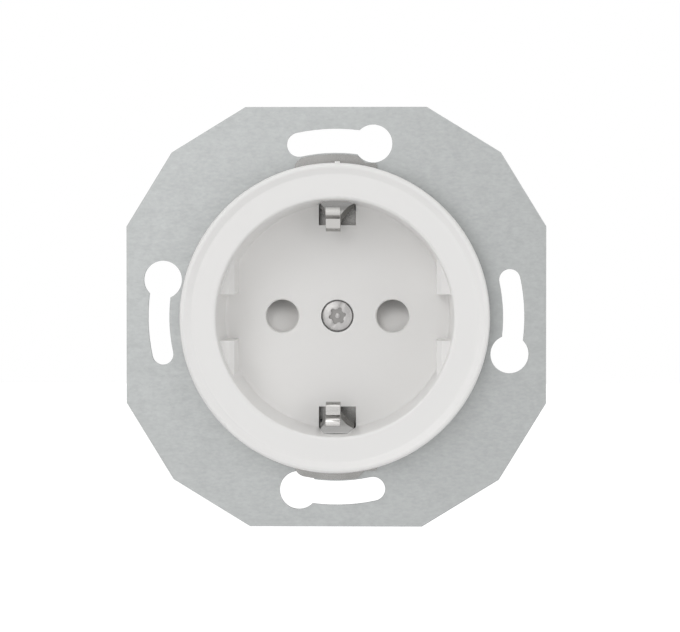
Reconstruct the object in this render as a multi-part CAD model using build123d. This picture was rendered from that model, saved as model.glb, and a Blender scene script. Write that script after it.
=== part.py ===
from build123d import *
from math import cos, hypot, radians, sin, sqrt
import os

# Flush earthed wall socket without its outer frame, in millimetres.
# The origin is the centre of the support plate's back face, which lies on the wall.
# +Z is up, +X is to the right, and the socket faces -Y, so depths into the wall are positive.

# Support plate
plate_side = 71.0
plate_thickness = 1.0
corner_cut_angle = 31.5
upper_cut_reach = 38.27
lower_cut_reach = 37.88
fixing_circle = 60.0
keyhole_bore = 6.45
keyhole_turn = 12.1
slot_outer_margin = 1.85
upright_slot_width = 4.1
side_slot_width = 3.6
plate_bend = 0.8
tab_width = 9.0
tab_root = 3.0
tab_length = 18.0
tab_window_width = 5.0
tab_window_height = 2.6
tab_window_margin = 2.6

# Cover, with the recess for the plug
cover_stand_off = 10.0
recess_depth = 17.8
floor_thickness = 2.2
mouth_radius = 19.8
recess_taper = 0.4
mouth_edge = 0.5
floor_edge = 0.5
cup_wall = 1.7
flange_radius = 25.8
flange_thickness = 2.2
rim_depth = 3.4
rim_wall = 1.3
bead_height = 0.45
bead_slope = 1.0
bead_edge = 0.45
bead_round = 0.5
gate_width = 0.8
gate_height = 0.3

# Plug geometry that the recess is made for
pin_pitch = 19.0
pin_diameter = 4.8
pin_hole_bore = 5.6
hole_edge = 0.2
guide_flat_height = 2.4
guide_flat_set_back = 4.2
guide_channel_width = 7.8
guide_lead = 0.8

# Earth windows in the wall and floor of the recess
window_floor_length = 3.8
window_width = 6.4
window_front_width = 4.1
window_length = 11.6

# Centre screw
screw_diameter = 3.0
screw_clearance = 0.2
screw_tip_depth = 19.6
screw_point = 0.5
head_diameter = 5.2
head_height = 1.6
head_crown = 0.25
head_gap = 0.2
head_drop = 1.8
drive_lobe_reach = 1.15
drive_lobe_radius = 0.36
drive_depth = 0.9
drive_turn = 10.0
drive_post_radius = 0.42
drive_slot_width = 0.75
drive_slot_depth = 0.5
drive_slot_lean = 24.0
boss_wall = 2.1

# Shutter
slide_gap = 0.1
slide_thickness = 3.8
slide_half_width = 14.0
slide_side_gap = 0.15
slide_travel = 5.8
slide_foot = 3.4
ramp_edge = 0.4
pin_window_margin = 0.7
pin_window_room = 1.2
spring_wire = 0.36
spring_radius = 1.25
spring_turns = 6
spring_room = 8.6
slide_bridge = 1.6
retainer_thickness = 1.2
retainer_gap = 0.3
rail_width = 1.0
peg_radius = 0.9
peg_shoulder = 1.4
peg_gap = 0.1
peg_set_out = 0.6
peg_height = 7.0

# Earth bow
bow_thickness = 0.8
bow_width = 14.0
bow_foot_margin = 3.1
bow_foot_corner = 2.0
bow_bend = 0.9
arm_gap = 0.3
crossbar_width = 8.0
crossbar_flare_margin = 3.2
crossbar_flare_length = 2.6
collar_wall = 1.0
collar_length = 1.6
finger_root_width = 5.8
finger_width = 2.5
finger_offset = -0.55
finger_slit = 0.4
finger_set_in = 1.8
finger_rise = 5.1
finger_heel = 1.2
finger_belly = 0.9
finger_apex_depth = 1.6
finger_apex_cut = 0.6
finger_lead_rise = 1.15
finger_step_length = 0.6
finger_step_rise = 1.05
finger_tab_length = 1.1
finger_tab_rise = 0.1
finger_tip_gap = 0.8
finger_bends = (4.0, 4.0, 0.9, 0.6, 0.6)
shoulder_start = 6.6
shoulder_end = 3.9
rivet_radius = 0.7
rivet_head_radius = 1.2
rivet_head = 0.45
rivet_edge = 0.1
foot_rivet_set_out = 1.8
foot_rivet_spacing = 5.0

# Housing
skirt_gap = 0.4
skirt_wall = 1.6
front_floor = 2.5
pin_guide_bore = 6.0
clip_set_back = 2.1
flat_cut = 1.2
housing_depth = 31.0
rear_wall = 1.6
rear_edge = 1.0
fit_gap = 0.1
clip_width = 8.0
clip_thickness = 1.3
clip_reach = 6.6
clip_window_width = 4.6
clip_window_height = 2.4
clip_margin = 1.6
nose_gap = 0.2

# Contacts and wire terminals, along the radius that each terminal lies on
strip = 0.8
contact_width = 5.0
bar_set_in = 3.9
bar_half_width = 8.5
bar_front_gap = 2.0
bar_rear_gap = 1.4
contact_front_gap = 1.0
contact_lead = 0.8
leaf_pinch = 0.6
outer_pinch = 0.2
contact_mouth = 1.6
contact_bends = (0.8, 0.8, 1.0, 1.0, 1.2)
contact_play = 1.2
wire_spacing = 12.4
wire_bore = 2.4
sleeve_bore = 4.0
sleeve_depth = 1.0
wire_diameter = 1.8
clamp_strip = 0.4
clamp_width = 3.6
clamp_room = 6.4
clamp_bend = 1.1
clamp_crest_length = 2.42
clamp_tip_gap = 1.6
clamp_crest_gap = 1.9
chamber_half_width = 9.4
chamber_wall = 1.5
button_set_in = 1.9
button_thickness = 3.0
button_width = 3.6
wing_thickness = 1.6
wing_half_width = 8.0
wing_depth = 1.6
button_gap = 0.15
button_proud = 1.0
driver_slot = 0.8
terminal_foot_width = 6.0
terminal_bend = 0.8
terminal_foot_length = 5.3
terminal_rivet_margin = 2.0
core_width = 12.0
core_height = 6.0
core_centre = 14.6
core_depth = 9.0

# How far cutters run past a face, and how deep a joined feature reaches into its carrier
overrun = 1.0
root = 0.5

# Depths that follow from the sizes above
plate_front = -plate_thickness
cover_front = -cover_stand_off
flange_back = cover_front + flange_thickness
rim_back = cover_front + rim_depth
floor_front = cover_front + recess_depth
floor_back = floor_front + floor_thickness
slide_front = floor_back + slide_gap
slide_back = slide_front + slide_thickness
retainer_front = slide_back + slide_gap
retainer_back = retainer_front + retainer_thickness
crossbar_front = retainer_back + retainer_gap
crossbar_back = crossbar_front + bow_thickness
housing_split = crossbar_front + front_floor
chamber_back = housing_depth - rear_wall
screw_seat = floor_front + head_drop

# Radii that follow from the sizes above
slot_outer_radius = fixing_circle / 2 + slot_outer_margin
floor_radius = mouth_radius - recess_taper
cup_radius = mouth_radius + cup_wall
cup_back_radius = floor_radius + cup_wall
boss_radius = screw_diameter / 2 + screw_clearance + boss_wall
arm_inner = cup_radius + arm_gap
arm_centre = arm_inner + bow_thickness / 2
arm_outer = arm_inner + bow_thickness
foot_rivet_reach = arm_outer + foot_rivet_set_out
bow_foot_reach = foot_rivet_reach + bow_foot_margin
crossbar_flare_end = arm_inner - crossbar_flare_margin
crossbar_flare_start = crossbar_flare_end - crossbar_flare_length
finger_root_reach = arm_inner - finger_set_in
finger_apex_reach = floor_radius - finger_rise
finger_tip_reach = floor_radius - finger_tip_gap
finger_step_end = finger_tip_reach - finger_tab_length
finger_step_start = finger_step_end - finger_step_length
window_inner_reach = floor_radius - window_floor_length
skirt_inner = cup_radius + skirt_gap
skirt_outer = skirt_inner + skirt_wall
aperture_radius = skirt_inner + skirt_wall / 2
pin_x = pin_pitch / 2
rail_inner = slide_half_width + slide_side_gap
peg_x = rail_inner + rail_width + peg_radius + peg_set_out
tab_inner = skirt_outer + fit_gap
housing_radius = skirt_outer - clip_set_back
housing_flat = housing_radius - flat_cut
chamber_round = housing_radius - chamber_wall
bar_reach = housing_radius - bar_set_in
clamp_seat = bar_reach - clamp_room
button_inner = clamp_seat + button_set_in
terminal_foot_inner = bar_reach - terminal_foot_length
terminal_rivet_reach = terminal_foot_inner + terminal_rivet_margin
bar_inner = bar_reach - strip / 2
bar_outer = bar_reach + strip / 2
wire_radius = bar_inner - wire_diameter / 2

OUT = "parts"
os.makedirs(OUT, exist_ok=True)


def facing(depth):
    """Sketch plane at this depth: sketch x is +X, sketch y is +Z, seen from the front."""
    return Plane(origin=(0, depth, 0), x_dir=(1, 0, 0), z_dir=(0, -1, 0))


# Sketch plane of the bow's side view: sketch x is +Z, sketch y is the depth +Y
SIDE = Plane(origin=(0, 0, 0), x_dir=(0, 0, 1), z_dir=(-1, 0, 0))


def pressed(sketch, start, end):
    """Solid of a front view sketch between two depths."""
    return extrude(facing(end) * sketch, amount=end - start)


def disc(radius, start, end, x=0.0, z=0.0):
    return pressed(Pos(x, z) * Circle(radius), start, end)


def block(x0, x1, y0, y1, z0, z1):
    middle = Pos((x0 + x1) / 2, (y0 + y1) / 2, (z0 + z1) / 2)
    return middle * Box(x1 - x0, y1 - y0, z1 - z0)


def turned(points, radii):
    """Solid turned about the Y axis from (radius, depth) points; the ends lie on the axis."""
    outline = FilletPolyline(*points, radius=radii)
    axis_line = Line(points[-1], points[0])
    return revolve(make_face([outline, axis_line]), Axis.Y, 360)


def shifted(points, offset):
    """The points of an open path moved sideways by offset, to the left of its direction."""
    moved = []
    last = len(points) - 1
    for i, (px, py) in enumerate(points):
        normals = []
        for a, b in ((i - 1, i), (i, i + 1)):
            if 0 <= a and b <= last:
                dx = points[b][0] - points[a][0]
                dy = points[b][1] - points[a][1]
                length = hypot(dx, dy)
                normals.append((-dy / length, dx / length))
        nx = sum(n[0] for n in normals) / len(normals)
        ny = sum(n[1] for n in normals) / len(normals)
        square = nx * nx + ny * ny
        moved.append((px + offset * nx / square, py + offset * ny / square))
    return moved


def bent_strip(points, thickness, bends):
    """Section of a sheet strip folded along points, with the given bend radius at its centre."""
    if isinstance(bends, (int, float)):
        bends = [bends] * (len(points) - 2)
    left_radii = []
    right_radii = []
    for i, bend in enumerate(bends):
        ax = points[i + 1][0] - points[i][0]
        ay = points[i + 1][1] - points[i][1]
        bx = points[i + 2][0] - points[i + 1][0]
        by = points[i + 2][1] - points[i + 1][1]
        side = 1 if ax * by - ay * bx > 0 else -1
        left_radii.append(bend - side * thickness / 2)
        right_radii.append(bend + side * thickness / 2)
    left = FilletPolyline(*shifted(points, thickness / 2), radius=left_radii)
    right = FilletPolyline(*shifted(points, -thickness / 2), radius=right_radii)
    ends = [Line(left @ 0, right @ 0), Line(left @ 1, right @ 1)]
    return make_face([left, right, *ends])


def dome(radius, edge, top):
    """Arc of a domed head, from the depth of its edge to its top on the axis."""
    rise = edge - top
    sphere = (radius**2 + rise**2) / (2 * rise)
    half = radius / 2
    middle = top + sphere - sqrt(sphere**2 - half**2)
    return ThreePointArc((radius, edge), (half, middle), (0, top))


def both_sides(shape):
    """The shape and its mirror image in the upright middle plane."""
    return shape + mirror(shape, Plane.YZ)


def above_and_below(shape):
    """The shape and its mirror image in the level middle plane."""
    return shape + mirror(shape, Plane.XY)


def save(shape, name):
    shape.label = name
    export_step(shape, os.path.join(OUT, name + ".step"))


# Support plate: blanked outline, four keyhole slots, opening, two tabs folded back
def cut_corner(reach):
    """Two corner points of the blank, for a corner cut by two lines at this reach."""
    angle = radians(corner_cut_angle)
    half = plate_side / 2
    on_edge = (reach - half * cos(angle)) / sin(angle)
    on_diagonal = reach / (cos(angle) + sin(angle))
    return on_edge, on_diagonal


def plate_blank():
    half = plate_side / 2
    upper_edge, upper_point = cut_corner(upper_cut_reach)
    lower_edge, lower_point = cut_corner(lower_cut_reach)
    right = [
        (upper_edge, half),
        (upper_point, upper_point),
        (half, upper_edge),
        (half, -lower_edge),
        (lower_point, -lower_point),
        (lower_edge, -half),
    ]
    left = [(-x, z) for x, z in reversed(right)]
    return make_face(Polyline(*right, *left, close=True))


def keyhole_end(shape, quarter):
    """The shape at the wide end of a keyhole slot, turned clockwise by quarter turns."""
    angle = radians(keyhole_turn)
    reach = fixing_circle / 2
    place = Pos(reach * sin(angle), reach * cos(angle))
    return Rot(0, 0, -90 * quarter) * place * shape


def keyhole_slot(width, quarter):
    """Slot centred on the plate's top edge, then turned clockwise by quarter turns."""
    middle = slot_outer_radius - width / 2
    arc = CenterArc((0, 0), middle, 90 - keyhole_turn, 2 * keyhole_turn)
    slot = Rot(0, 0, -90 * quarter) * SlotArc(arc, width)
    return slot + keyhole_end(Circle(keyhole_bore / 2), quarter)


def support_plate():
    blank = plate_blank()
    for quarter in range(4):
        width = side_slot_width if quarter % 2 else upright_slot_width
        blank -= keyhole_slot(width, quarter)
    blank -= Circle(aperture_radius)
    bend_reach = arm_outer + bow_bend - bow_thickness / 2 + fit_gap
    blank -= Rectangle(bow_width + 2 * arm_gap, 2 * bend_reach)
    blank -= Rectangle(2 * (tab_inner + plate_thickness), tab_width + 2 * plate_bend)
    for x in (-1, 1):
        for z in (-1, 1):
            place = Pos(x * foot_rivet_spacing / 2, z * foot_rivet_reach)
            blank -= place * Circle(rivet_radius)
    plate = pressed(blank, plate_front, 0)
    tab_centre = tab_inner + plate_thickness / 2
    fold = [
        (tab_inner + tab_root, -plate_thickness / 2),
        (tab_centre, -plate_thickness / 2),
        (tab_centre, tab_length),
    ]
    tab = extrude(bent_strip(fold, plate_thickness, plate_bend), tab_width / 2, both=True)
    window_back = tab_length - tab_window_margin
    tab -= block(
        tab_inner - overrun,
        tab_inner + plate_thickness + overrun,
        window_back - tab_window_height,
        window_back,
        -tab_window_width / 2,
        tab_window_width / 2,
    )
    return plate + both_sides(tab)


# Cover: flange with beaded rim, recess, guide flats, earth windows, boss, rails and pegs
def cover_shell():
    bead_top = cover_front - bead_height
    bead_foot = flange_radius - rim_wall - bead_slope / 2
    points = [
        (0, floor_front),
        (floor_radius, floor_front),
        (mouth_radius, cover_front),
        (bead_foot, cover_front),
        (bead_foot + bead_slope, bead_top),
        (flange_radius, bead_top),
        (flange_radius, rim_back),
        (flange_radius - rim_wall, rim_back),
        (flange_radius - rim_wall, flange_back),
        (cup_radius, flange_back),
        (cup_back_radius, floor_back),
        (0, floor_back),
    ]
    radii = [floor_edge, mouth_edge, bead_edge, bead_edge, bead_round, 0, 0, 0, 0, 0]
    return turned(points, radii)


def guide_flats():
    """Flats beside the recess that keep the plug upright, with a channel for its rib."""
    start = cover_front + guide_flat_set_back
    end = floor_front + floor_thickness / 2
    flat_x = floor_radius - guide_flat_height
    lead = [
        (flat_x, end),
        (flat_x, start + guide_lead),
        (flat_x + guide_lead, start),
        (cup_radius, start),
        (cup_radius, end),
    ]
    ridge = extrude(make_face(Polyline(*lead, close=True)), mouth_radius, both=True)
    ridge &= disc(floor_radius + cup_wall / 2, start - overrun, end)
    half = guide_channel_width / 2
    ridge -= block(0, cup_radius, start - overrun, floor_front, -half, half)
    return both_sides(ridge)


def earth_window():
    """Cutter through floor edge and wall, narrowing towards the front."""
    half = window_width / 2
    half_front = window_front_width / 2
    front = floor_front - window_length
    outline = [
        (-half, floor_back + overrun),
        (-half, floor_front),
        (-half_front, front),
        (half_front, front),
        (half, floor_front),
        (half, floor_back + overrun),
    ]
    face = make_face(Polyline(*outline, close=True))
    depth = cup_radius + overrun - window_inner_reach
    return above_and_below(extrude(Pos(0, 0, window_inner_reach) * face, depth, dir=(0, 0, 1)))


def pin_hole(x):
    points = [
        (0, floor_front - overrun),
        (pin_hole_bore / 2 + overrun + hole_edge, floor_front - overrun),
        (pin_hole_bore / 2, floor_front + hole_edge),
        (pin_hole_bore / 2, floor_back + overrun),
        (0, floor_back + overrun),
    ]
    return Pos(x, 0, 0) * revolve(make_face(Polyline(*points, close=True)), Axis.Y, 360)


def cover():
    shell = cover_shell() + guide_flats()
    shell += disc(boss_radius, floor_front + floor_thickness / 2, crossbar_front)
    rail_top = slide_foot + slide_travel
    rail = block(rail_inner, rail_inner + rail_width, floor_back - root, slide_back, -rail_top, rail_top)
    for z in (-peg_height, peg_height):
        rail += disc(peg_shoulder, floor_back - root, retainer_front, peg_x, z)
        rail += disc(peg_radius, retainer_front, retainer_back, peg_x, z)
    shell += both_sides(rail)
    gate_edge = flange_radius + gate_height
    shell += block(0, gate_width, flange_back, flange_back + overrun, flange_radius - overrun, gate_edge)
    shell -= earth_window()
    shell -= pin_hole(pin_x) + pin_hole(-pin_x)
    shell -= disc(screw_diameter / 2 + screw_clearance, floor_front, crossbar_front + overrun)
    shell -= disc(head_diameter / 2 + head_gap, floor_front - overrun, screw_seat)
    return shell


def cover_screw():
    head_front = screw_seat - head_height
    head = head_diameter / 2
    shank = screw_diameter / 2
    points = [
        (0, screw_tip_depth),
        (shank - screw_point, screw_tip_depth),
        (shank, screw_tip_depth - screw_point),
        (shank, screw_seat),
        (head, screw_seat),
        (head, head_front + head_crown),
    ]
    crown = dome(head, head_front + head_crown, head_front)
    section = make_face([Polyline(*points), crown, Line((0, head_front), points[0])])
    screw = revolve(section, Axis.Y, 360)
    drive = Circle(drive_lobe_reach)
    for lobe in range(6):
        angle = radians(60 * lobe + drive_turn)
        place = Pos(drive_lobe_reach * cos(angle), drive_lobe_reach * sin(angle))
        drive += place * Circle(drive_lobe_radius)
    drive -= Circle(drive_post_radius)
    screw -= pressed(drive, head_front - overrun, head_front + drive_depth)
    slot = Rot(0, 0, -drive_slot_lean) * Rectangle(drive_slot_width, 2 * head)
    screw -= pressed(slot, head_front - overrun, head_front + drive_slot_depth)
    return screw


# Shutter: a slide with a ramp behind each pin hole, its spring and the plate that holds both
window_low = pin_hole_bore / 2 + hole_edge
window_high = window_low + pin_diameter + pin_window_room
window_half = pin_diameter / 2 + pin_window_margin
slot_reach = boss_radius + slide_gap + slide_travel
spring_seat = boss_radius + spring_room
slide_top = spring_seat + slide_bridge
slide_bottom = -boss_radius - slide_foot


def shutter_slide():
    width = slide_half_width
    slide = block(-width, width, slide_front, slide_back, slide_bottom, slide_top)
    around_boss = boss_radius + slide_gap
    start = slide_front - overrun
    end = slide_back + overrun
    slide -= disc(around_boss, start, end)
    slide -= block(-around_boss, around_boss, start, end, 0, slot_reach)
    pocket = spring_radius + spring_wire
    slide -= block(-pocket, pocket, start, end, slot_reach - overrun, spring_seat)
    ramp_back = slide_back - ramp_edge
    ramp = [
        (-window_low, start),
        (-window_low, slide_front),
        (window_low, ramp_back),
        (window_low, end),
        (window_high, end),
        (window_high, start),
    ]
    face = SIDE * make_face(Polyline(*ramp, close=True))
    cutter = extrude(face, window_half, both=True)
    slide -= Pos(pin_x, 0, 0) * cutter
    slide -= Pos(-pin_x, 0, 0) * cutter
    return slide


def shutter_spring():
    """Coil between the boss and the top of the slide's slot."""
    bottom = boss_radius + spring_wire / 2
    length = spring_room - spring_wire
    middle = (slide_front + slide_back) / 2
    path = Helix(length / spring_turns, length, spring_radius)
    section = Plane(path @ 0, z_dir=path % 0) * Circle(spring_wire / 2)
    return Pos(0, middle, bottom) * sweep(section, path=path, is_frenet=True)


def shutter_retainer():
    half_width = peg_x + peg_shoulder
    half_height = peg_height + peg_shoulder
    outline = RectangleRounded(2 * half_width, 2 * half_height, peg_shoulder)
    outline -= Circle(boss_radius + slide_gap)
    for x in (-1, 1):
        outline -= Pos(x * pin_x, 0) * Circle(pin_guide_bore / 2)
        for z in (-1, 1):
            outline -= Pos(x * peg_x, z * peg_height) * Circle(peg_radius + peg_gap / 2)
    return pressed(outline, retainer_front, retainer_back)


# Earth bow: feet on the plate, arms beside the cup, crossbar, and a finger cut out of each arm
foot_depth = plate_front - bow_thickness / 2
bar_depth = crossbar_front + bow_thickness / 2
bar_cut_start = crossbar_front - overrun
bar_cut_end = crossbar_back + overrun


def bow_plan():
    """Front view outline of the bow: straight sides, round corners, notches beside the keyholes."""
    outline = Circle(bow_foot_reach) & Rectangle(bow_width, 2 * bow_foot_reach + overrun)
    outline = fillet(outline.vertices(), bow_foot_corner)
    notch = RegularPolygon(keyhole_bore / 2 + fit_gap, 8, major_radius=False, rotation=22.5)
    for quarter in (0, 2):
        outline -= keyhole_end(notch, quarter)
    return outline


def bow_arm():
    """Foot, arm and half of the crossbar above the middle."""
    path = [
        (bow_foot_reach + overrun, foot_depth),
        (arm_centre, foot_depth),
        (arm_centre, bar_depth),
        (0, bar_depth),
    ]
    arm = extrude(SIDE * bent_strip(path, bow_thickness, bow_bend), bow_width, both=True)
    arm &= pressed(bow_plan(), cover_front, housing_depth)
    side = crossbar_width / 2
    waist = [
        (side, -overrun),
        (side, crossbar_flare_start),
        (bow_width / 2, crossbar_flare_end),
        (bow_width, crossbar_flare_end),
        (bow_width, -overrun),
    ]
    beside = pressed(make_face(Polyline(*waist, close=True)), bar_cut_start, bar_cut_end)
    arm -= both_sides(beside)
    slit = finger_root_width / 2 + finger_slit
    slit_start = finger_root_reach - 2 * bow_bend
    slit_end = arm_outer + overrun
    arm -= block(-slit, slit, bar_cut_start, bar_cut_end, slit_start, slit_end)
    arm -= block(-slit, slit, plate_front + bow_bend, crossbar_back, arm_inner - overrun, slit_end)
    return arm


def bow_finger():
    """Sprung contact finger, wide at its root, narrow where the plug rubs on it."""
    half = bow_thickness / 2
    belly = (finger_root_reach + finger_apex_reach + half) / 2 + finger_belly
    lead_end = finger_apex_depth - finger_lead_rise
    step_top = lead_end - finger_step_rise
    path = [
        (crossbar_flare_start, bar_depth),
        (finger_root_reach, bar_depth),
        (finger_root_reach, floor_front + finger_heel),
        (belly, (shoulder_end + shoulder_start) / 2),
        (finger_apex_reach + half - finger_apex_cut, finger_apex_depth),
        (finger_step_start, lead_end),
        (finger_step_end, step_top),
        (finger_tip_reach, step_top - finger_tab_rise),
    ]
    section = SIDE * bent_strip(path, bow_thickness, (bow_bend, *finger_bends))
    finger = extrude(section, finger_root_width / 2, both=True)
    root_half = finger_root_width / 2
    low = finger_offset - finger_width / 2
    high = finger_offset + finger_width / 2
    plan = [
        (-root_half, housing_depth),
        (-root_half, shoulder_start),
        (low, shoulder_end),
        (low, cover_front),
        (high, cover_front),
        (high, shoulder_end),
        (root_half, shoulder_start),
        (root_half, housing_depth),
    ]
    face = make_face(Polyline(*plan, close=True))
    return finger & extrude(face, housing_depth, both=True)


def earth_bow():
    bow = above_and_below(bow_arm() + bow_finger())
    collar = screw_diameter / 2 + collar_wall
    bow += disc(collar, crossbar_back, crossbar_back + collar_length)
    bow -= disc(screw_diameter / 2 + fit_gap / 2, bar_cut_start, housing_depth)
    for x in (-1, 1):
        for z in (-1, 1):
            place = (x * foot_rivet_spacing / 2, z * foot_rivet_reach)
            bow -= disc(rivet_radius, cover_front, plate_front + overrun, *place)
    bow -= disc(rivet_radius, bar_cut_start, bar_cut_end, 0, -terminal_rivet_reach)
    return bow


def bow_rivet():
    """One rivet with a domed front head, seated on the foot, and a flat back head on the plate."""
    seat = plate_front - bow_thickness
    crown = dome(rivet_head_radius, seat - rivet_edge, seat - rivet_head)
    outline = Polyline(
        (rivet_head_radius, seat - rivet_edge),
        (rivet_head_radius, seat),
        (rivet_radius, seat),
        (rivet_radius, 0),
        (rivet_head_radius, 0),
        (rivet_head_radius, rivet_head / 2),
        (0, rivet_head / 2),
        (0, seat - rivet_head),
    )
    return revolve(make_face([crown, outline]), Axis.Y, 360)


def bow_rivets():
    rivets = []
    for x in (-1, 1):
        for z in (-1, 1):
            place = Pos(x * foot_rivet_spacing / 2, 0, z * foot_rivet_reach)
            rivets.append(place * bow_rivet())
    return Compound(children=rivets)


# Housing: front moulding with the skirt round the cup, rear moulding with the chambers
def clip_place(index, shape):
    """Puts a clip piece, made at +X, at one of the four corners of the housing."""
    return Rot(0, 45 + 90 * index, 0) * shape


def housing_front():
    body = disc(skirt_outer, 0, housing_split)
    body -= disc(skirt_inner, -overrun, crossbar_front)
    notch = bow_width / 2 + arm_gap
    slot = block(-notch, notch, -overrun, crossbar_back, arm_inner - bow_bend, skirt_outer + overrun)
    flare = block(-notch, notch, crossbar_front, crossbar_back, crossbar_flare_start, arm_outer)
    bar = crossbar_width / 2 + fit_gap
    groove = block(-bar, bar, crossbar_front, crossbar_back, 0, arm_outer)
    body -= above_and_below(slot + flare + groove)
    body -= disc(screw_diameter / 2 + collar_wall + fit_gap, 0, housing_split + overrun)
    for x in (-pin_x, pin_x):
        body -= disc(pin_guide_bore / 2, 0, housing_split + overrun, x)
    foot = terminal_foot_width / 2 + fit_gap
    body -= block(
        -foot,
        foot,
        crossbar_front,
        housing_split + overrun,
        -bar_outer - fit_gap,
        -terminal_foot_inner + fit_gap,
    )
    window_back = tab_length - tab_window_margin
    nose_front = window_back - tab_window_height + nose_gap
    nose = [
        (skirt_outer - root, nose_front),
        (tab_inner + fit_gap, nose_front),
        (tab_inner + plate_thickness, window_back - nose_gap),
        (skirt_outer - root, window_back - nose_gap),
    ]
    nose_half = tab_window_width / 2 - nose_gap
    lug = extrude(make_face(Polyline(*nose, close=True)), nose_half, both=True)
    body += both_sides(lug)
    clip_inner = housing_radius + fit_gap
    clip_outer = clip_inner + clip_thickness
    clip_end = housing_split + clip_reach
    clip_half = clip_width / 2
    clip = block(clip_inner, clip_outer, housing_split - overrun, clip_end, -clip_half, clip_half)
    window_end = clip_end - clip_margin
    window_half_width = clip_window_width / 2
    clip -= block(
        clip_inner - overrun,
        clip_outer + overrun,
        window_end - clip_window_height,
        window_end,
        -window_half_width,
        window_half_width,
    )
    for index in range(4):
        body += clip_place(index, clip)
    return body


def terminal_space():
    """Room for one wire terminal on the +X side: bar, clamp springs and button wings."""
    half = chamber_half_width
    room = block(clamp_seat, bar_outer, housing_split - overrun, chamber_back, -half, half)
    return room & disc(chamber_round, housing_split - overrun, chamber_back + overrun)


def terminal_openings():
    """Cutters through the rear wall on the +X side: two wire entries and the button's hole."""
    hole_half = button_width / 2 + button_gap
    inner = button_inner - button_gap
    outer = button_inner + button_thickness + button_gap
    start = chamber_back - overrun
    end = housing_depth + overrun
    cutter = block(inner, outer, start, end, -hole_half, hole_half)
    for z in (-wire_spacing / 2, wire_spacing / 2):
        cutter += disc(wire_bore / 2, start, end, wire_radius, z)
        cutter += disc(sleeve_bore / 2, housing_depth - sleeve_depth, end, wire_radius, z)
    return cutter


def toward_earth(shape):
    """Turns a piece made for the +X terminal to the earth terminal at the bottom."""
    return Rot(0, 90, 0) * shape


def housing_rear():
    outline = Circle(housing_radius) & Rectangle(2 * housing_radius, 2 * housing_flat)
    body = pressed(outline, housing_split, housing_depth)
    rear_edges = body.faces().sort_by(Axis.Y)[-1].edges()
    body = chamfer(rear_edges, rear_edge)
    front = housing_split - overrun
    half = contact_width / 2 + 2 * fit_gap
    channel_inner = pin_x - pin_diameter / 2 - strip - contact_play
    channel = block(channel_inner, clamp_seat + overrun, front, chamber_back, -half, half)
    body -= both_sides(terminal_space() + terminal_openings() + channel)
    body -= toward_earth(terminal_space() + terminal_openings())
    body -= disc(screw_diameter / 2 + collar_wall + fit_gap, front, screw_tip_depth + overrun)
    core = Pos(0, core_centre) * RectangleRounded(core_width, core_height, 1)
    body -= pressed(core, housing_depth - core_depth, housing_depth + overrun)
    clip_inner = housing_radius + fit_gap
    window_end = housing_split + clip_reach - clip_margin
    window_start = window_end - clip_window_height
    nose = [
        (housing_radius - root, window_start + nose_gap),
        (clip_inner + clip_thickness, window_start + nose_gap),
        (clip_inner, window_end - nose_gap),
        (housing_radius - root, window_end - nose_gap),
    ]
    nose_half = clip_window_width / 2 - nose_gap
    lug = extrude(make_face(Polyline(*nose, close=True)), nose_half, both=True)
    for index in range(4):
        body += clip_place(index, lug)
    return body


# Contacts and wire terminals, made on the +X side and then mirrored or turned
bar_front = housing_split + bar_front_gap
bar_rear = chamber_back - bar_rear_gap
contact_front = housing_split + contact_front_gap + strip / 2
outer_leaf = pin_x + pin_diameter / 2 - outer_pinch + strip / 2
inner_leaf = pin_x - pin_diameter / 2 + leaf_pinch - strip / 2


def clamping_bar():
    return block(bar_inner, bar_outer, bar_front, bar_rear, -bar_half_width, bar_half_width)


def pole_contact():
    path = [
        (bar_reach, bar_rear),
        (bar_reach, contact_front),
        (outer_leaf, contact_front),
        (outer_leaf, bar_rear - strip / 2),
        (inner_leaf, bar_rear - strip / 2),
        (inner_leaf, contact_front + contact_mouth),
        (inner_leaf - contact_lead, contact_front),
    ]
    section = bent_strip(path, strip, contact_bends)
    return extrude(section, contact_width / 2, both=True) + clamping_bar()


def earth_terminal():
    foot = crossbar_back + strip / 2
    path = [(bar_reach, bar_rear), (bar_reach, foot), (terminal_foot_inner, foot)]
    section = bent_strip(path, strip, terminal_bend)
    terminal = extrude(section, terminal_foot_width / 2, both=True) + clamping_bar()
    head_start = crossbar_back + strip
    rivet_hole = disc(rivet_radius, crossbar_back - overrun, head_start + overrun, terminal_rivet_reach)
    return toward_earth(terminal - rivet_hole)


def earth_terminal_rivet():
    head_start = crossbar_back + strip
    rivet = disc(rivet_radius, crossbar_front, head_start, 0, -terminal_rivet_reach)
    head = disc(rivet_head_radius, head_start, head_start + rivet_head, 0, -terminal_rivet_reach)
    return rivet + head


def clamp_spring(side):
    """Leaf that presses the wire on the bar; side is +1 or -1 along Z."""
    seat = clamp_seat + clamp_strip / 2
    crest = chamber_back - clamp_crest_gap - clamp_strip / 2
    tip = bar_inner - clamp_strip
    path = [
        (seat, bar_front),
        (seat, crest),
        (seat + clamp_crest_length, crest),
        (tip, bar_front + clamp_tip_gap),
    ]
    section = bent_strip(path, clamp_strip, clamp_bend)
    leaf = extrude(section, clamp_width / 2, both=True)
    return Pos(0, 0, side * wire_spacing / 2) * leaf


def release_button():
    wing_front = chamber_back - clamp_crest_gap + fit_gap
    wing_back = wing_front + wing_depth
    outer = button_inner + button_thickness
    half = button_width / 2
    end = housing_depth + button_proud
    button = block(button_inner, outer, wing_front, end, -half, half)
    button += block(
        button_inner,
        button_inner + wing_thickness,
        wing_front,
        wing_back,
        -wing_half_width,
        wing_half_width,
    )
    slot_start = (button_inner + outer - driver_slot) / 2
    slot_end = slot_start + driver_slot
    button -= block(slot_start, slot_end, end - driver_slot, end + overrun, -button_width, button_width)
    return button


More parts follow.
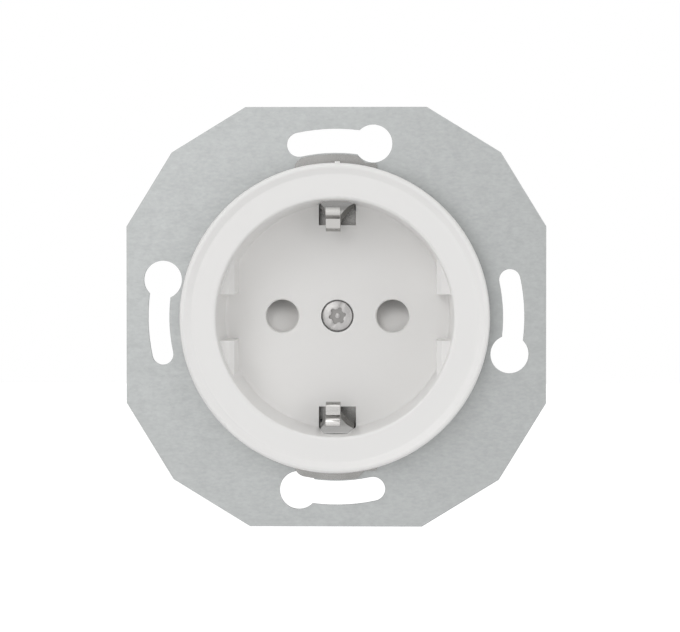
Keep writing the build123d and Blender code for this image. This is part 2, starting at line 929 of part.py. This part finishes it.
save(support_plate(), "support_plate")
save(cover(), "cover")
save(cover_screw(), "cover_screw")
save(shutter_slide(), "shutter_slide")
save(shutter_spring(), "shutter_spring")
save(shutter_retainer(), "shutter_retainer")
save(earth_bow(), "earth_bow")
save(bow_rivets(), "bow_rivets")
save(housing_front(), "housing_front")
save(housing_rear(), "housing_rear")
save(pole_contact(), "neutral_contact")
save(mirror(pole_contact(), Plane.YZ), "line_contact")
save(earth_terminal(), "earth_terminal")
save(earth_terminal_rivet(), "earth_terminal_rivet")
for side, place in ((1, "upper"), (-1, "lower")):
    save(clamp_spring(side), "neutral_spring_" + place)
    save(mirror(clamp_spring(side), Plane.YZ), "line_spring_" + place)
for side, place in ((1, "right"), (-1, "left")):
    save(toward_earth(clamp_spring(side)), "earth_spring_" + place)
save(release_button(), "neutral_release_button")
save(mirror(release_button(), Plane.YZ), "line_release_button")
save(toward_earth(release_button()), "earth_release_button")
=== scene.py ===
import math

import bpy
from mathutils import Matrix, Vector


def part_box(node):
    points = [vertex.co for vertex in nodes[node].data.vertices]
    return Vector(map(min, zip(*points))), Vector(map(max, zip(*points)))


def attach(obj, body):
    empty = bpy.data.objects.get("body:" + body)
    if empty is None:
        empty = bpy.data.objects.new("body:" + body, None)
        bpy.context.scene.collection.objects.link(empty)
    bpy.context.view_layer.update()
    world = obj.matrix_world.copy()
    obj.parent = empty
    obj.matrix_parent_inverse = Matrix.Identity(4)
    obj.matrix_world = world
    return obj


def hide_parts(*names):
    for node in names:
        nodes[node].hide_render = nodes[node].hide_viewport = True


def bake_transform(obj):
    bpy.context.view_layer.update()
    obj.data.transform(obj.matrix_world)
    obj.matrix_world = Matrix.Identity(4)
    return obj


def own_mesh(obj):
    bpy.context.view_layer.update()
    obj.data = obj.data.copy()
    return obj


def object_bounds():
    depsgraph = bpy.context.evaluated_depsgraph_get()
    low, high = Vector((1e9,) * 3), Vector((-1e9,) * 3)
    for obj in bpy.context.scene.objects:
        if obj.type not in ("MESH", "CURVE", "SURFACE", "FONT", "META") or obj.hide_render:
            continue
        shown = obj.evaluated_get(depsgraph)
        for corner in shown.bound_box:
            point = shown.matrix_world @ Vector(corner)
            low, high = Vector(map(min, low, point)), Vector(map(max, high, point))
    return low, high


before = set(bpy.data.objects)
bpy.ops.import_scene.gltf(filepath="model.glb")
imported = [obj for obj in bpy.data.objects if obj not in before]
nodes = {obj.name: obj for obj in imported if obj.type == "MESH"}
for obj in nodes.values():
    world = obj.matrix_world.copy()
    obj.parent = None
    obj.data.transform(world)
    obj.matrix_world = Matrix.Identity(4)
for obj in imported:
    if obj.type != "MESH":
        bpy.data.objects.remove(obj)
cad_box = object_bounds()
mm = 0.001


# Support plate: one stamping of 1 mm sheet steel with a bright zinc coat. It lies on the wall and
# carries everything else; its two rear tabs hook over the housing. The coat shows soft clouds and
# faint rolling streaks, and the sheared edges are slightly rounded.
plate_colour = (0.357, 0.367, 0.365, 1.0)
plate_shade = (0.316, 0.325, 0.324, 1.0)
plate_edge = 0.12 * mm
evenly = (1.0, 1.0, 1.0)
along_the_sheet = (0.16, 1.0, 1.0)
slightly_along = (0.5, 1.0, 1.0)
noise_roughness = 0.55
tone_range = (0.35, 0.65)
gloss_range = (0.3, 0.7)
facet_gap = 0.001 * mm
flat_angle = math.radians(0.5)
edge_angle = math.radians(30.0)


def add(tree, kind, **settings):
    """Adds a node; settings are node properties, or socket values when a socket has that name."""
    node = tree.nodes.new(kind)
    for name, value in settings.items():
        title = name.replace("_", " ")
        if hasattr(node, name):
            setattr(node, name, value)
        else:
            node.inputs[title].default_value = value
    return node


def join(tree, out_node, out_name, in_node, in_name):
    tree.links.new(out_node.outputs[out_name], in_node.inputs[in_name])


def effect_group(name, inputs, outputs):
    """Empty shader node group with float inputs, a Place vector and named float outputs."""
    group = bpy.data.node_groups.new(name, "ShaderNodeTree")
    group.interface.new_socket(name="Place", in_out="INPUT", socket_type="NodeSocketVector")
    for title, value in inputs.items():
        socket = group.interface.new_socket(name=title, in_out="INPUT", socket_type="NodeSocketFloat")
        socket.default_value = value
    for title in outputs:
        group.interface.new_socket(name=title, in_out="OUTPUT", socket_type="NodeSocketFloat")
    start = group.nodes.new("NodeGroupInput")
    end = group.nodes.new("NodeGroupOutput")
    return group, start, end


def scaled_noise(tree, start, scale_input, stretch, detail):
    """Noise over Place, with its scale from a group input and a fixed stretch along the axes."""
    mapping = add(tree, "ShaderNodeMapping", vector_type="POINT")
    mapping.inputs["Scale"].default_value = stretch
    join(tree, start, "Place", mapping, "Vector")
    noise = add(tree, "ShaderNodeTexNoise", Detail=detail, Roughness=noise_roughness)
    join(tree, mapping, "Vector", noise, "Vector")
    join(tree, start, scale_input, noise, "Scale")
    return noise


def make_sheet_coat():
    """Clouds, flecks and rolling streaks of coated sheet metal: Tone, Streak and a fine Relief."""
    inputs = {"Cloud size": 260.0, "Streak size": 900.0, "Grain size": 4200.0, "Grain share": 0.5}
    group, start, end = effect_group("sheet_coat", inputs, ["Tone", "Streak", "Relief"])
    cloud = scaled_noise(group, start, "Cloud size", evenly, detail=4.0)
    streak = scaled_noise(group, start, "Streak size", along_the_sheet, detail=3.0)
    grain = scaled_noise(group, start, "Grain size", slightly_along, detail=2.0)
    tone = add(group, "ShaderNodeMix", data_type="FLOAT")
    group.links.new(start.outputs["Grain share"], tone.inputs["Factor"])
    group.links.new(cloud.outputs["Fac"], tone.inputs["A"])
    group.links.new(grain.outputs["Fac"], tone.inputs["B"])
    relief = add(group, "ShaderNodeMath", operation="ADD")
    group.links.new(streak.outputs["Fac"], relief.inputs[0])
    group.links.new(grain.outputs["Fac"], relief.inputs[1])
    join(group, tone, "Result", end, "Tone")
    join(group, streak, "Fac", end, "Streak")
    join(group, relief, "Value", end, "Relief")
    return group


sheet_coat = make_sheet_coat()


def object_place(tree):
    """Coordinates fixed to the piece, with the wall's plane and the socket's middle at zero."""
    return add(tree, "ShaderNodeTexCoord")


def new_finish(name, **sockets):
    """Material with a Principled shader whose constant values are set on its own sockets."""
    material = bpy.data.materials.new(name)
    material.use_nodes = True
    tree = material.node_tree
    shader = tree.nodes["Principled BSDF"]
    for title, value in sockets.items():
        shader.inputs[title.replace("_", " ")].default_value = value
    return material, tree, shader


def blend_colours(tree, mask_node, mask_name, mask_range, dark, light):
    """Colour ramp from dark to light over the given range of the mask."""
    ramp = add(tree, "ShaderNodeValToRGB")
    first, last = ramp.color_ramp.elements
    first.position, last.position = mask_range
    first.color = dark
    last.color = light
    join(tree, mask_node, mask_name, ramp, "Fac")
    return ramp


def spread(tree, mask_node, mask_name, mask_range, values):
    """Takes the given range of a mask to a range of shader values."""
    node = add(tree, "ShaderNodeMapRange")
    node.inputs["From Min"].default_value, node.inputs["From Max"].default_value = mask_range
    node.inputs["To Min"].default_value, node.inputs["To Max"].default_value = values
    join(tree, mask_node, mask_name, node, "Value")
    return node


def relief_normal(tree, mask_node, mask_name, shader, depth):
    bump = add(tree, "ShaderNodeBump", Strength=1.0, Distance=depth)
    join(tree, mask_node, mask_name, bump, "Height")
    join(tree, bump, "Normal", shader, "Normal")


def coated_metal(name, dark, light, rough, cloud, streak, grain, share, relief):
    """Metal sheet or strip with clouds in its colour, streaks in its gloss and a fine relief."""
    material, tree, shader = new_finish(name, Metallic=1.0)
    place = object_place(tree)
    coat = add(tree, "ShaderNodeGroup", node_tree=sheet_coat)
    coat.inputs["Cloud size"].default_value = cloud
    coat.inputs["Streak size"].default_value = streak
    coat.inputs["Grain size"].default_value = grain
    coat.inputs["Grain share"].default_value = share
    join(tree, place, "Object", coat, "Place")
    colour = blend_colours(tree, coat, "Tone", tone_range, dark, light)
    join(tree, colour, "Color", shader, "Base Color")
    gloss = spread(tree, coat, "Streak", gloss_range, rough)
    join(tree, gloss, "Result", shader, "Roughness")
    relief_normal(tree, coat, "Relief", shader, relief)
    return material


def soften(piece, radius):
    """Rounds the piece's edges: joins the facets, clears flat faces and bevels what is left."""
    weld = piece.modifiers.new("join_facets", "WELD")
    weld.merge_threshold = facet_gap
    flat = piece.modifiers.new("clear_flats", "DECIMATE")
    flat.decimate_type = "DISSOLVE"
    flat.angle_limit = flat_angle
    bevel = piece.modifiers.new("round_edges", "BEVEL")
    bevel.width = radius
    bevel.segments = 2
    bevel.limit_method = "ANGLE"
    bevel.angle_limit = edge_angle
    bevel.use_clamp_overlap = True
    even = piece.modifiers.new("even_shading", "WEIGHTED_NORMAL")
    even.keep_sharp = False


def dress(name, material, edge=0.0):
    """Gives a CAD node its finish and, with an edge radius, its rounded edges."""
    piece = nodes[name]
    piece.data.materials.clear()
    piece.data.materials.append(material)
    if edge:
        soften(piece, edge)
    return piece


zinc = coated_metal(
    "zinc_coat",
    dark=plate_shade,
    light=plate_colour,
    rough=(0.36, 0.42),
    cloud=520.0,
    streak=1300.0,
    grain=2600.0,
    share=0.6,
    relief=0.004 * mm,
)
dress("support_plate", zinc, plate_edge)


# Earth bow and its rivets: a strip of nickel-plated spring bronze, bent round the cup, with a
# sprung finger cut out of each arm, and four domed steel rivets that hold the feet on the plate.
# The strip's colour is kept dark as painted shade, and the front inner part of each finger is painted
# lighter as a painted highlight.
bow_edge = 0.08 * mm
finger_painted_highlight = (0.44, 0.432, 0.420, 1.0)
highlight_depths = (2.2 * mm, 3.2 * mm)
highlight_reaches = (18.0 * mm, 18.6 * mm)


def make_depth_zone():
    """Mask by depth, Y, and by reach from the middle, Z: 1 at the Full values, 0 at the Nil ones."""
    inputs = {"Full depth": 0.0, "Nil depth": 1.0, "Full reach": 0.0, "Nil reach": 1.0}
    group, start, end = effect_group("depth_zone", inputs, ["Zone"])
    place = add(group, "ShaderNodeSeparateXYZ")
    join(group, start, "Place", place, "Vector")
    height = add(group, "ShaderNodeMath", operation="ABSOLUTE")
    group.links.new(place.outputs["Z"], height.inputs[0])
    both = add(group, "ShaderNodeMath", operation="MULTIPLY")
    sources = {"depth": place.outputs["Y"], "reach": height.outputs["Value"]}
    for index, (kind, source) in enumerate(sources.items()):
        zone = add(group, "ShaderNodeMapRange")
        group.links.new(source, zone.inputs["Value"])
        join(group, start, f"Nil {kind}", zone, "From Min")
        join(group, start, f"Full {kind}", zone, "From Max")
        group.links.new(zone.outputs["Result"], both.inputs[index])
    join(group, both, "Value", end, "Zone")
    return group


depth_zone = make_depth_zone()

# A Mix node lists its colour sockets after those for floats and vectors.
colour_a_socket = 6
colour_b_socket = 7
colour_result_socket = 2


def tint_zone(material, colour, depths, reaches):
    """Takes the material to another colour within a zone; each pair is its Full and Nil value."""
    tree = material.node_tree
    target = tree.nodes["Principled BSDF"].inputs["Base Color"]
    plain = target.links[0].from_socket
    place = object_place(tree)
    zone = add(tree, "ShaderNodeGroup", node_tree=depth_zone)
    zone.inputs["Full depth"].default_value, zone.inputs["Nil depth"].default_value = depths
    zone.inputs["Full reach"].default_value, zone.inputs["Nil reach"].default_value = reaches
    join(tree, place, "Object", zone, "Place")
    tint = add(tree, "ShaderNodeMix", data_type="RGBA")
    tint.inputs[colour_b_socket].default_value = colour
    join(tree, zone, "Zone", tint, "Factor")
    tree.links.new(plain, tint.inputs[colour_a_socket])
    tree.links.new(tint.outputs[colour_result_socket], target)


# Painted shade: the strip's colour is kept dark, for its deeper and outer parts.
nickel = coated_metal(
    "nickel_coat",
    dark=(0.215, 0.212, 0.206, 1.0),
    light=(0.250, 0.247, 0.240, 1.0),
    rough=(0.20, 0.28),
    cloud=300.0,
    streak=1400.0,
    grain=5000.0,
    share=0.3,
    relief=0.004 * mm,
)
# Painted highlight: the front inner part of each finger is lighter than the rest of the strip.
tint_zone(nickel, finger_painted_highlight, highlight_depths, highlight_reaches)
rivet_steel = coated_metal(
    "rivet_steel",
    dark=(0.42, 0.42, 0.42, 1.0),
    light=(0.55, 0.55, 0.55, 1.0),
    rough=(0.30, 0.42),
    cloud=600.0,
    streak=1500.0,
    grain=6000.0,
    share=0.3,
    relief=0.008 * mm,
)
dress("earth_bow", nickel, bow_edge)
dress("bow_rivets", rivet_steel)


# Housing, front and rear: two light grey mouldings with a fine eroded grain from the mould. The
# front one surrounds the cup, and the rear one, clipped into it, holds the contacts.
housing_colour = (0.58, 0.59, 0.59, 1.0)
housing_shade = (0.54, 0.55, 0.55, 1.0)
housing_edge = 0.15 * mm
flow_range = (0.3, 0.7)


def make_moulded_skin():
    """Skin of a moulding: slow Flow tone, fine Grain and a Relief of both."""
    inputs = {"Flow size": 60.0, "Grain size": 5000.0, "Grain share": 0.5}
    group, start, end = effect_group("moulded_skin", inputs, ["Flow", "Grain", "Relief"])
    flow = scaled_noise(group, start, "Flow size", evenly, detail=3.0)
    grain = scaled_noise(group, start, "Grain size", evenly, detail=2.0)
    share = add(group, "ShaderNodeMath", operation="MULTIPLY")
    group.links.new(grain.outputs["Fac"], share.inputs[0])
    group.links.new(start.outputs["Grain share"], share.inputs[1])
    relief = add(group, "ShaderNodeMath", operation="ADD")
    group.links.new(share.outputs["Value"], relief.inputs[0])
    group.links.new(flow.outputs["Fac"], relief.inputs[1])
    join(group, flow, "Fac", end, "Flow")
    join(group, grain, "Fac", end, "Grain")
    join(group, relief, "Value", end, "Relief")
    return group


moulded_skin = make_moulded_skin()


def moulded_plastic(name, dark, light, rough, flow, grain, share, relief):
    """Plastic with a slow flow in its colour, grain in its gloss and a fine relief of both."""
    material, tree, shader = new_finish(name, Metallic=0.0)
    place = object_place(tree)
    skin = add(tree, "ShaderNodeGroup", node_tree=moulded_skin)
    skin.inputs["Flow size"].default_value = flow
    skin.inputs["Grain size"].default_value = grain
    skin.inputs["Grain share"].default_value = share
    join(tree, place, "Object", skin, "Place")
    colour = blend_colours(tree, skin, "Flow", flow_range, dark, light)
    join(tree, colour, "Color", shader, "Base Color")
    gloss = spread(tree, skin, "Grain", gloss_range, rough)
    join(tree, gloss, "Result", shader, "Roughness")
    relief_normal(tree, skin, "Relief", shader, relief)
    return material


housing_skin = moulded_plastic(
    "housing_moulding",
    dark=housing_shade,
    light=housing_colour,
    rough=(0.45, 0.6),
    flow=120.0,
    grain=3500.0,
    share=1.0,
    relief=0.02 * mm,
)
dress("housing_front", housing_skin, housing_edge)
dress("housing_rear", housing_skin, housing_edge)


# Contacts and terminals: brass strip, stamped and folded. Line and neutral each have a socket for
# the plug's pin and a bar on which two wires are clamped. The earth terminal has the bar alone, and
# a steel rivet holds it on the bow.
contact_edge = 0.06 * mm
brass = coated_metal(
    "contact_brass",
    dark=(0.60, 0.43, 0.17, 1.0),
    light=(0.78, 0.60, 0.27, 1.0),
    rough=(0.24, 0.38),
    cloud=400.0,
    streak=1300.0,
    grain=5200.0,
    share=0.3,
    relief=0.006 * mm,
)
for name in ("line_contact", "neutral_contact", "earth_terminal"):
    dress(name, brass, contact_edge)
dress("earth_terminal_rivet", rivet_steel)


# Clamp springs: six folded leaves of bright spring steel. The foot of each stands in its chamber
# and its tip presses the wire on the bar. The release button pushes the fold and tip forward.
leaf_edge = 0.04 * mm
spring_steel = coated_metal(
    "spring_steel",
    dark=(0.38, 0.38, 0.385, 1.0),
    light=(0.52, 0.52, 0.525, 1.0),
    rough=(0.22, 0.34),
    cloud=500.0,
    streak=1800.0,
    grain=7000.0,
    share=0.3,
    relief=0.004 * mm,
)


def flexing_copy(node_name, piece_name, material):
    """A piece of its own in the shape of a CAD node, which it replaces."""
    piece = bpy.data.objects.new(piece_name, nodes[node_name].data.copy())
    bpy.context.scene.collection.objects.link(piece)
    piece.data.materials.clear()
    piece.data.materials.append(material)
    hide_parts(node_name)
    return piece


def clamp_leaf(node_name):
    """Clamp spring leaf as a piece of its own, which replaces its CAD node and gets rounded edges."""
    terminal, place = node_name.split("_spring_")
    leaf = flexing_copy(node_name, f"{terminal}_clamp_{place}", spring_steel)
    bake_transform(leaf)
    soften(leaf, leaf_edge)


for name in list(nodes):
    if "_spring_" in name:
        clamp_leaf(name)


# Release buttons: dark grey plastic, one in an opening of the rear housing for each terminal.
# Pushed in with a screwdriver, a button takes both clamp springs off their wires.
button_edge = 0.15 * mm
button_skin = moulded_plastic(
    "button_moulding",
    dark=(0.130, 0.136, 0.142, 1.0),
    light=(0.155, 0.161, 0.167, 1.0),
    rough=(0.45, 0.6),
    flow=150.0,
    grain=4500.0,
    share=0.8,
    relief=0.012 * mm,
)
for name in nodes:
    if name.endswith("_release_button"):
        dress(name, button_skin, button_edge)


# Shutter: a matt off-white slide with a ramp behind each pin hole, its steel coil and the thin
# plate that keeps both on the back of the cover. The coil stands on the screw's boss, and the slide
# presses it flat as it opens.
shutter_edge = 0.1 * mm
shutter_skin = moulded_plastic(
    "shutter_moulding",
    dark=(0.925, 0.914, 0.898, 1.0),
    light=(0.940, 0.930, 0.915, 1.0),
    rough=(0.5, 0.62),
    flow=150.0,
    grain=4000.0,
    share=0.6,
    relief=0.01 * mm,
)
dress("shutter_slide", shutter_skin, shutter_edge)
dress("shutter_retainer", shutter_skin, shutter_edge)
shutter_coil = flexing_copy("shutter_spring", "shutter_coil", spring_steel)
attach(shutter_coil, "socket")
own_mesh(shutter_coil)


# Cover: one white moulding with a satin gloss, from a polished mould: flange with a raised bead,
# deep recess for the plug, floor with the pin holes. The centre screw pulls it onto the earth bow.
cover_skin = moulded_plastic(
    "white_moulding",
    dark=(0.915, 0.907, 0.895, 1.0),
    light=(0.925, 0.918, 0.907, 1.0),
    rough=(0.30, 0.36),
    flow=35.0,
    grain=6000.0,
    share=0.3,
    relief=0.001 * mm,
)
dress("cover", cover_skin)


# Centre screw: a zinc-plated steel screw with a flat domed head, a six-lobe recess round a post
# and a narrow slot across it. The colour is darker down in the recess, as painted shade.
recess_painted_shade = (0.215, 0.210, 0.204, 1.0)
screw_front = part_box("cover_screw")[0].y
recess_depths = (screw_front + 0.8 * mm, screw_front + 0.5 * mm)
recess_reaches = (1.5 * mm, 1.7 * mm)
screw_edge = 0.04 * mm
screw_steel = coated_metal(
    "screw_steel",
    dark=(0.32, 0.312, 0.307, 1.0),
    light=(0.41, 0.402, 0.397, 1.0),
    rough=(0.30, 0.42),
    cloud=700.0,
    streak=1600.0,
    grain=6000.0,
    share=0.4,
    relief=0.006 * mm,
)
# Painted shade: darker colour down in the recess of the head.
tint_zone(screw_steel, recess_painted_shade, recess_depths, recess_reaches)
dress("cover_screw", screw_steel, screw_edge)


# Studio: a pale floor under the socket and white surroundings. Two soft lamps in front and three
# large ones above and beside it light the recess from all sides, most from the upper left. The
# camera looks at the plate nearly square on.
floor_drop = 110 * mm
floor_size = 6.0
paper_white = (0.86, 0.86, 0.86, 1.0)
paper_glow = 0.8
pure_white = (1.0, 1.0, 1.0, 1.0)
ambient = 0.31
backdrop = 1.0
off_to_on = (0.0, 1.0)
plate_distance = 0.5
camera_right = math.radians(1.53)
camera_up = math.radians(1.26)
aim = Vector((0.65 * mm, 0.0, 0.15 * mm))
pixels_per_radian = 2950.0
frame_pixels = 680.0
sensor = 36.0
nearest_shown = 10 * mm


def white_surroundings():
    world = bpy.data.worlds.new("surroundings")
    bpy.context.scene.world = world
    world.use_nodes = True
    tree = world.node_tree
    shader = tree.nodes["Background"]
    rays = add(tree, "ShaderNodeLightPath")
    seen = add(tree, "ShaderNodeMath", operation="MAXIMUM")
    tree.links.new(rays.outputs["Is Camera Ray"], seen.inputs[0])
    tree.links.new(rays.outputs["Is Glossy Ray"], seen.inputs[1])
    through = add(tree, "ShaderNodeMath", operation="MAXIMUM")
    tree.links.new(seen.outputs["Value"], through.inputs[0])
    tree.links.new(rays.outputs["Is Transmission Ray"], through.inputs[1])
    strength = spread(tree, through, "Value", off_to_on, (ambient, backdrop))
    join(tree, strength, "Result", shader, "Strength")
    shader.inputs["Color"].default_value = pure_white


white_surroundings()


def pale_floor():
    low = cad_box[0].z - floor_drop
    bpy.ops.mesh.primitive_grid_add(x_subdivisions=2, y_subdivisions=2, size=floor_size)
    floor = bpy.context.object
    floor.name = "floor"
    floor.location = (0.0, 0.0, low)
    material, tree, shader = new_finish("floor_paper", Roughness=0.9)
    shader.inputs["Base Color"].default_value = paper_white
    rays = add(tree, "ShaderNodeLightPath")
    seen = add(tree, "ShaderNodeMath", operation="MAXIMUM")
    tree.links.new(rays.outputs["Is Camera Ray"], seen.inputs[0])
    tree.links.new(rays.outputs["Is Glossy Ray"], seen.inputs[1])
    glow = spread(tree, seen, "Value", off_to_on, (0.0, paper_glow))
    shader.inputs["Emission Color"].default_value = pure_white
    join(tree, glow, "Result", shader, "Emission Strength")
    floor.data.materials.append(material)


pale_floor()


def soft_lamp(name, place, size, watts):
    light = bpy.data.lights.new(name, "AREA")
    light.shape = "DISK"
    light.size = size
    light.energy = watts
    lamp = bpy.data.objects.new(name, light)
    bpy.context.scene.collection.objects.link(lamp)
    lamp.location = place
    lamp.rotation_mode = "QUATERNION"
    lamp.rotation_quaternion = (-Vector(place)).to_track_quat("-Z", "Y")


soft_lamp("front_lamp", (-0.22, -1.10, 0.06), size=0.50, watts=0.62)
soft_lamp("upper_lamp", (-0.30, -1.00, 0.45), size=0.50, watts=1.85)
soft_lamp("top_lamp", (0.0, -0.45, 1.15), size=1.00, watts=2.9)
soft_lamp("left_lamp", (-1.10, -0.55, 0.20), size=0.90, watts=2.2)
soft_lamp("right_lamp", (0.80, -0.85, 0.10), size=0.80, watts=2.25)


def photo_camera():
    data = bpy.data.cameras.new("camera")
    data.sensor_width = sensor
    data.lens = sensor * pixels_per_radian / frame_pixels
    data.clip_start = nearest_shown
    camera = bpy.data.objects.new("camera", data)
    bpy.context.scene.collection.objects.link(camera)
    level = math.cos(camera_up)
    back = Vector((math.sin(camera_right) * level, -math.cos(camera_right) * level, math.sin(camera_up)))
    camera.location = back * plate_distance
    camera.rotation_mode = "QUATERNION"
    camera.rotation_quaternion = (aim - camera.location).to_track_quat("-Z", "Y")
    bpy.context.scene.camera = camera


photo_camera()
bpy.context.scene.view_settings.view_transform = "Standard"
